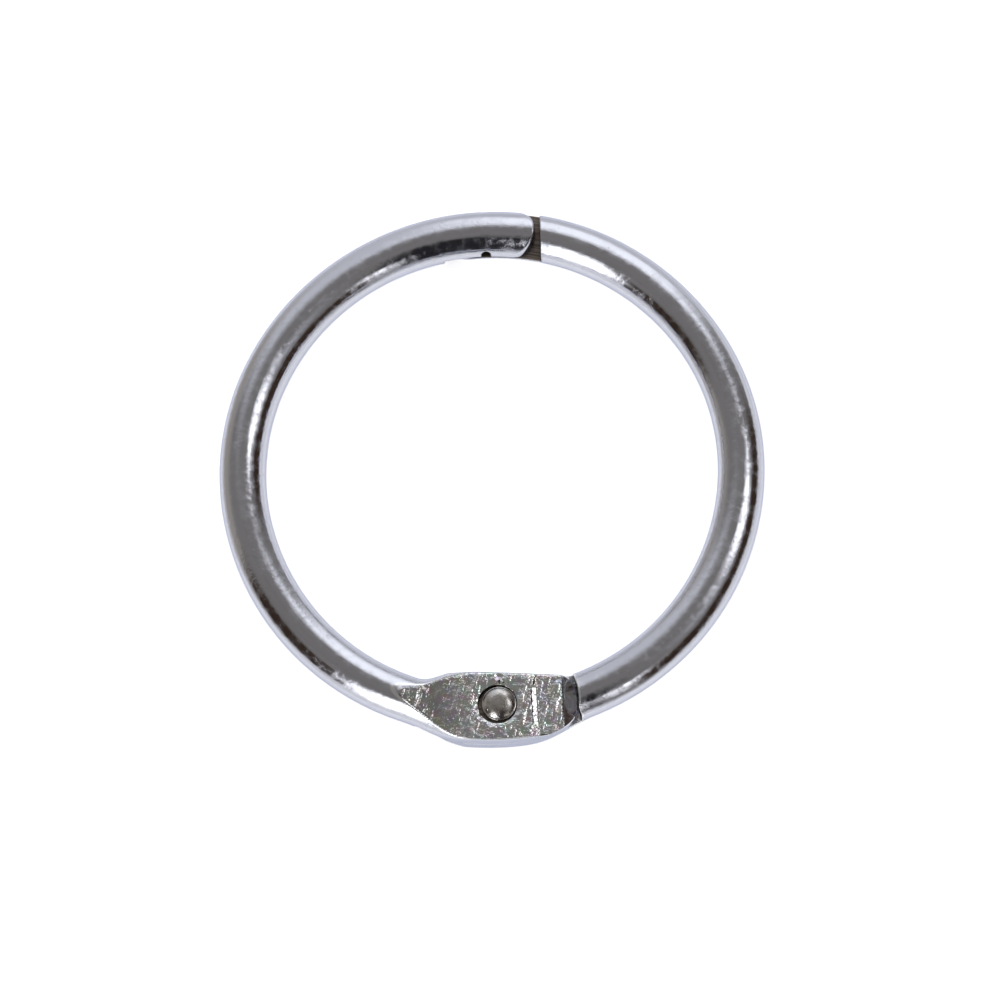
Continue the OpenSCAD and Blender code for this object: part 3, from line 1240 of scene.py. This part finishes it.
@dataclass(frozen=True)
class NickelFinish:
    """Polished nickel plate, grainy where the die struck it, and dark brown where it was sheared: painted
    shade for the gaps and hollows there. Edges, the die's step and the end bevel take a painted highlight.

    The worked pairs go from the drawn-out spear of the tab to its face round the rivet.
    """

    name: str
    effects: Effects
    bright: Colour = (0.55, 0.56, 0.625)
    edge_on: Colour = (0.60, 0.63, 0.72)
    struck: Colour = (0.610, 0.622, 0.650)
    drawn_out: Colour = (0.430, 0.432, 0.442)
    # glint: colour of the painted highlights on die scratches, sharp edges, the step and the bevel
    glint: Colour = (0.92, 0.93, 0.95)
    # painted shade colours for the cut faces in gaps and hollows, with darker and lighter streaks
    sheared: Colour = (0.13, 0.10, 0.08)
    painted_shade_lighter: Colour = (0.30, 0.262, 0.23)
    tarnish: Colour = (0.36, 0.32, 0.29)
    polished_rough: Range = (0.10, 0.20)
    polished_cloud: Range = (0.35, 0.7)
    struck_rough: Range = (0.06, 0.18)
    struck_cloud: Range = (0.3, 0.7)
    painted_shade_rough: float = 0.36
    plate_grain: GrainSizes = GrainSizes(grain=0.06, fineness=3.0, pits=0.10)
    struck_grain: GrainSizes = GrainSizes(grain=0.36, fineness=2.0, pits=0.3)
    line_w: float = 0.09
    line_length: float = 6.0
    scratch_lean: float = 0.3
    scratch_w: float = 0.32
    scratch_amount: float = 0.6
    worked_x: Range = (-4.2, -0.8)
    worked_glint: Range = (0.15, 0.6)
    worked_tint: Range = (0.14, 0.26)
    worked_relief: Range = (0.5, 1.0)
    tint_grain: float = 0.42
    tarnish_share: float = 0.55
    edge_share: float = 0.6
    painted_shade_share: float = 0.95
    painted_shade_streak: Range = (0.38, 0.68)
    scuff_cloud: Range = (0.42, 0.66)
    scuff_height: Range = (0.0016, 0.008)
    line_height: float = 0.0035
    scratch_height: float = 0.13
    grain_height: float = 0.07
    edge_relief: float = 0.25

    def build(self) -> bpy.types.Material:
        """Makes the material.

        Returns:
            The new material.
        """
        material, g, shader = new_material(self.name)
        at = g.surface_mm()
        share = {zone: g.attribute(zone.value) for zone in Zone}
        stamped, sheared, edge = share[Zone.STAMPED], share[Zone.PAINTED_SHADE], share[Zone.EDGE]
        plate = self.plate_grain.place(g, self.effects, at)
        lines = g.place(self.effects.drawn, {"Vector": at, "Width": self.line_w, "Length": self.line_length})
        lean = {"Vector": at, "Angle": self.scratch_lean}
        leaning = g.add("ShaderNodeVectorRotate", lean, rotation_type="Z_AXIS").outputs[0]
        scratched = {"Vector": leaning, "Width": self.scratch_w, "Amount": self.scratch_amount}
        die = g.place(self.effects.scratches, scratched)
        coarse = self.struck_grain.place(g, self.effects, at)
        worked = g.ramp(g.axes(at)[0], *self.worked_x)

        face = g.mix(worked, self.drawn_out, self.struck)
        # Painted glints: the die's scratches are lightened towards the glint colour, more so towards the
        # rivet.
        face = g.mix(g.times(die["Mask"], g.blend(worked, *self.worked_glint)), face, self.glint)
        tint = {"Grain": self.tint_grain, "Strength": g.blend(worked, *self.worked_tint), "Color": face}
        face = g.place(self.effects.tints, {"Vector": at, **tint})["Color"]
        clean = g.mix(g.times(plate["Pit Mask"], self.tarnish_share), self.bright, self.tarnish)
        colour = g.mix(stamped, clean, face)
        # Painted highlight along sharp edges, the step and the bevel.
        colour = g.mix(g.times(edge, self.edge_share), colour, self.glint)
        # Painted shade on the cut faces, streaked along the drawn lines.
        shade_colour = g.mix(g.ramp(lines["Height"], *self.painted_shade_streak), self.sheared, self.painted_shade_lighter)
        g.feed(shader, "Base Color", g.mix(g.times(sheared, self.painted_shade_share), colour, shade_colour))

        polished = g.ramp(plate["Cloud"], *self.polished_cloud, *self.polished_rough)
        struck = g.ramp(coarse["Cloud"], *self.struck_cloud, *self.struck_rough)
        rough = g.blend(stamped, polished, struck)
        g.feed(shader, "Roughness", g.blend(sheared, rough, self.painted_shade_rough))

        scuff = g.ramp(plate["Cloud"], *self.scuff_cloud, *self.scuff_height)
        drawn = g.times(lines["Height"], self.line_height)
        plate_height = g.math("MULTIPLY_ADD", plate["Height"], scuff, drawn)
        rise = g.times(coarse["Height"], self.grain_height)
        die_height = g.math("MULTIPLY_ADD", die["Height"], self.scratch_height, rise)
        die_height = g.times(die_height, g.blend(worked, *self.worked_relief))
        die_height = g.times(die_height, g.ramp(edge, 0.0, 1.0, 1.0, self.edge_relief))
        g.feed_relief(shader, g.blend(stamped, plate_height, die_height))
        shader.inputs["Specular Tint"].default_value = (*self.edge_on, 1.0)
        shader.inputs["Metallic"].default_value = 1.0
        return material


@dataclass(frozen=True)
class PeenedFinish:
    """Rivet metal: hammered crown with fine grain and dull clouds."""

    name: str
    effects: Effects
    bright: Colour = (0.58, 0.57, 0.57)
    dull: Colour = (0.34, 0.31, 0.29)
    dull_cloud: Range = (0.4, 0.65)
    rough: Range = (0.12, 0.24)
    rough_cloud: Range = (0.3, 0.7)
    grain: GrainSizes = GrainSizes(grain=0.10, fineness=3.0, pits=0.3)
    grain_height: float = 0.012

    def build(self) -> bpy.types.Material:
        """Makes the material.

        Returns:
            The new material.
        """
        material, g, shader = new_material(self.name)
        grain = self.grain.place(g, self.effects, g.surface_mm())
        g.feed(shader, "Base Color", g.mix(g.ramp(grain["Cloud"], *self.dull_cloud), self.bright, self.dull))
        g.feed(shader, "Roughness", g.ramp(grain["Cloud"], *self.rough_cloud, *self.rough))
        g.feed_relief(shader, g.times(grain["Height"], self.grain_height))
        shader.inputs["Metallic"].default_value = 1.0
        return material


# Studio


@dataclass(frozen=True)
class Panel:
    """A soft patch of light or dark in the studio, by direction in degrees."""

    name: str
    azimuth: float
    half_width: float
    zenith: float
    half_height: float
    soft: float
    colour: Colour
    strength: float
    slant: float = 0.0


@dataclass(frozen=True)
class Studio:
    """Pale floor and the soft light round it: the floor in millimetres, the lamp in metres."""

    floor_z: float
    ring_r: float
    floor_r: float = 1500.0
    floor_sides: int = 96
    floor_pale: Colour = (0.93, 0.935, 0.945)
    floor_dim: Colour = (0.90, 0.905, 0.92)
    floor_cloud: float = 40.0
    floor_rough: float = 0.7
    card_w: Range = (4.0, 6.0)
    floor_glow: float = 0.62
    wash_energy: float = 0.42
    wash_size: float = 0.5
    wash_place: Triple = (0.0, 0.05, 0.45)
    sky: Colour = (0.26, 0.246, 0.228)
    table: Colour = (1.0, 1.0, 1.0)
    backdrop: Colour = (1.0, 1.0, 1.0)
    sky_range: Range = (0.8, 1.2)
    sky_cloud: float = 5.0
    sky_detail: float = 4.0
    horizon: Range = (88.0, 92.0)
    warp: float = 18.0
    warp_scale: Pair = (2.3, 2.9)
    panels: tuple[Panel, ...] = (
        Panel("back wall", 95.0, 44.0, 70.0, 38.0, 14.0, (0.97, 0.98, 1.0), 0.80),
        Panel("bright back", 76.0, 22.0, 56.0, 22.0, 12.0, (0.98, 0.99, 1.0), 1.6),
        Panel("left horizon", 160.0, 34.0, 90.0, 18.0, 15.0, (1.0, 0.92, 0.80), 0.46),
        Panel("left flag", -155.0, 17.0, 75.0, 23.0, 7.0, (1.0, 0.62, 0.42), 0.046),
        Panel("left key", -119.5, 12.0, 66.0, 25.0, 7.0, (1.0, 1.0, 1.0), 3.2),
        Panel("front flag", -80.0, 25.0, 62.0, 40.0, 6.0, (0.95, 0.92, 1.0), 0.024),
        Panel("front key", -54.0, 5.0, 73.0, 17.0, 5.0, (1.0, 0.99, 0.97), 2.4),
        Panel("right flag", -14.0, 42.0, 75.0, 18.0, 9.0, (1.0, 0.86, 0.76), 0.13, -0.35),
        Panel("right flag core", -12.0, 38.0, 77.0, 17.0, 5.0, (1.0, 0.60, 0.40), 0.05, -0.2),
        Panel("right glow", -3.0, 24.0, 42.0, 9.0, 11.0, (0.97, 0.98, 1.0), 0.55),
        Panel("right key", 14.0, 16.0, 37.0, 7.0, 6.0, (1.0, 0.99, 0.98), 3.0, -0.45),
    )

    def floor(self) -> bpy.types.Object:
        """Makes the round floor under the ring.

        Returns:
            The floor, marked as stage.
        """
        bpy.ops.mesh.primitive_circle_add(
            vertices=self.floor_sides,
            radius=self.floor_r * MM,
            fill_type="NGON",
            location=(0, 0, self.floor_z * MM),
        )
        floor = bpy.context.object
        floor.name = "studio_floor"
        material, g, shader = new_material("pale_floor")
        position = g.add("ShaderNodeTexCoord").outputs["Object"]
        cloud = g.noise(position, self.floor_cloud, detail=3.0)
        g.feed(shader, "Base Color", g.mix(cloud, self.floor_dim, self.floor_pale))
        shader.inputs["Roughness"].default_value = self.floor_rough
        shader.inputs["Emission Color"].default_value = (1.0, 1.0, 1.0, 1.0)
        shader.inputs["Emission Strength"].default_value = self.floor_glow
        self._open_floor(material, g, shader, position)
        floor.data.materials.append(material)
        floor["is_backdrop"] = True
        return floor

    def _open_floor(
        self, material: bpy.types.Material, g: Graph, shader: bpy.types.Node, position: Socket
    ) -> None:
        """Lets the metal see the dark flags past a pale card that lies close to the wire.

        Args:
            material: The floor's material.
            g: Its graph.
            shader: Its shader.
            position: Place on the floor, in metres.
        """
        radius = g.radius(g.axes(position))
        away = g.math("ABSOLUTE", g.math("SUBTRACT", radius, self.ring_r * MM))
        past_card = g.ramp(away, *(w * MM for w in self.card_w))
        mirrored = g.add("ShaderNodeLightPath").outputs["Is Glossy Ray"]
        clear = g.add("ShaderNodeBsdfTransparent").outputs[0]
        share = g.times(past_card, mirrored)
        mixed = g.add("ShaderNodeMixShader", {0: share, 1: shader.outputs[0], 2: clear})
        g.feed(material.node_tree.nodes["Material Output"], "Surface", mixed.outputs[0])

    def dome(self) -> bpy.types.World:
        """Makes the light round the ring; the camera itself sees a plain pale backdrop.

        Returns:
            The new world.
        """
        world = bpy.data.worlds.new("studio")
        world.use_nodes = True
        g = Graph(world.node_tree)
        panel_group = make_panel_group()
        direction = g.add("ShaderNodeTexCoord").outputs["Generated"]
        axis = g.axes(direction)
        azimuth = g.math("DEGREES", g.math("ARCTAN2", axis[1], axis[0]))
        zenith = g.math("DEGREES", g.math("ARCCOSINE", axis[2]))
        below = g.ramp(zenith, *self.horizon)
        azimuth, zenith = (
            g.math("ADD", angle, g.math("MULTIPLY_ADD", g.noise(direction, scale), self.warp, -self.warp / 2))
            for angle, scale in zip((azimuth, zenith), self.warp_scale)
        )
        low_sky, high_sky = (tuple(channel * share for channel in self.sky) for share in self.sky_range)
        colour = g.mix(g.noise(direction, self.sky_cloud, self.sky_detail), low_sky, high_sky)
        colour = g.mix(below, colour, self.table)
        for panel in self.panels:
            mask = g.place(
                panel_group,
                {
                    "Ray Azimuth": azimuth,
                    "Ray Zenith": zenith,
                    "Azimuth": panel.azimuth,
                    "Half Width": panel.half_width,
                    "Zenith": panel.zenith,
                    "Half Height": panel.half_height,
                    "Slant": panel.slant,
                    "Soft Edge": panel.soft,
                },
            )["Mask"]
            glow = tuple(channel * panel.strength for channel in panel.colour)
            colour = g.mix(mask, colour, glow)
        light = world.node_tree.nodes["Background"]
        g.feed(light, "Color", colour)
        plain = g.add("ShaderNodeBackground", {"Color": (*self.backdrop, 1.0)})
        seen = g.add("ShaderNodeLightPath").outputs["Is Camera Ray"]
        mixed = g.add("ShaderNodeMixShader", {0: seen, 1: light.outputs[0], 2: plain.outputs[0]})
        g.feed(world.node_tree.nodes["World Output"], "Surface", mixed.outputs[0])
        bpy.context.scene.world = world
        return world

    def floor_light(self) -> bpy.types.Object:
        """Makes the broad overhead light that keeps the floor pale without showing in the metal.

        Returns:
            The light.
        """
        lamp = bpy.data.lights.new("floor_wash", "AREA")
        lamp.shape = "DISK"
        lamp.size = self.wash_size
        lamp.energy = self.wash_energy
        light = bpy.data.objects.new("floor_wash", lamp)
        light.location = self.wash_place
        light.visible_glossy = False
        bpy.context.scene.collection.objects.link(light)
        return light

    def build(self) -> None:
        """Makes floor, dome and light, and shows colours as they are."""
        self.floor()
        self.dome()
        self.floor_light()
        bpy.context.scene.view_settings.view_transform = "Standard"


@dataclass(frozen=True)
class PhotoCamera:
    """Camera that looks down on the ring, a little from below the hinge."""

    tilt_deg: float = 16.3
    turn_deg: float = 4.9
    roll_deg: float = 6.6
    distance: float = 400.0
    view_width: float = 55.41
    sensor: float = 36.0
    image_px: float = 1000.0
    centre_px: Pair = (491.85, 471.6)

    def build(self) -> bpy.types.Object:
        """Makes the camera and sets it as the scene's.

        Returns:
            The camera.
        """
        tilt, turn, roll = (math.radians(a) for a in (self.tilt_deg, self.turn_deg, self.roll_deg))
        level = Vector((math.cos(turn), math.sin(turn), 0.0))
        back = Vector((math.sin(tilt) * math.sin(turn), -math.sin(tilt) * math.cos(turn), math.cos(tilt)))
        rise = back.cross(level)
        right = math.cos(roll) * level - math.sin(roll) * rise
        up = math.sin(roll) * level + math.cos(roll) * rise
        pixel = self.view_width / self.image_px
        aside = (self.image_px / 2 - self.centre_px[0]) * pixel
        above = (self.centre_px[1] - self.image_px / 2) * pixel
        place = back * self.distance + right * aside + up * above
        data = bpy.data.cameras.new("photo_camera")
        data.sensor_width = self.sensor
        data.lens = self.sensor * self.distance / self.view_width
        camera = bpy.data.objects.new("photo_camera", data)
        axes = Matrix((right, up, back)).transposed()
        camera.matrix_world = Matrix.Translation(place * MM) @ axes.to_4x4()
        bpy.context.scene.collection.objects.link(camera)
        bpy.context.scene.camera = camera
        return camera


def main() -> None:
    """Builds the ring, its finishes and the studio, and reports each piece."""
    logging.basicConfig(level=logging.INFO, format="%(name)s: %(message)s")
    hinge = frame["joints"][0]
    lowest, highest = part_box("left_half_ring")
    wire_r = (highest.z - lowest.z) / 2 / MM
    wire = WireSizes(ring_r=-lowest.x / MM - wire_r, wire_r=wire_r, hinge_r=-hinge["pos_m"][1] / MM)
    clasp = ClaspSizes()
    left_tab = TabSizes()
    right_tab = TabSizes(outer_inset=0.04, outer_corner_r=2.0, inner_taper=math.radians(1.5))
    effects = Effects(make_grain_group(), make_scratch_group(), make_drawn_group(), make_tint_group())
    nickel = NickelFinish("polished_nickel", effects).build()
    peened = PeenedFinish("peened_nickel", effects).build()
    left_seat = SeatSizes(bore_r=0.8, seat_r=1.08, chamfer_w=0.15, chamfer_depth=0.06)
    right_seat = SeatSizes(bore_r=0.76, seat_r=1.08)
    halves = (
        HalfRing("left_half_ring", "left_half", "left_wire", Side.LEFT, wire, clasp, left_tab, left_seat),
        HalfRing(
            "right_half_ring", "right_half", "right_wire", Side.RIGHT, wire, clasp, right_tab, right_seat
        ),
    )
    PhotoCamera().build()
    for half in halves:
        piece = half.build(nickel)
        log.info("%s: %d faces", piece.name, len(piece.data.polygons))
    rivet = HingeRivet("hinge_rivet", "right_half", "rivet", -wire.hinge_r).build(peened)
    log.info("%s: %d faces", rivet.name, len(rivet.data.polygons))
    Studio(floor_z=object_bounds()[0].z / MM, ring_r=wire.ring_r).build()


if __name__ == "__main__":
    main()
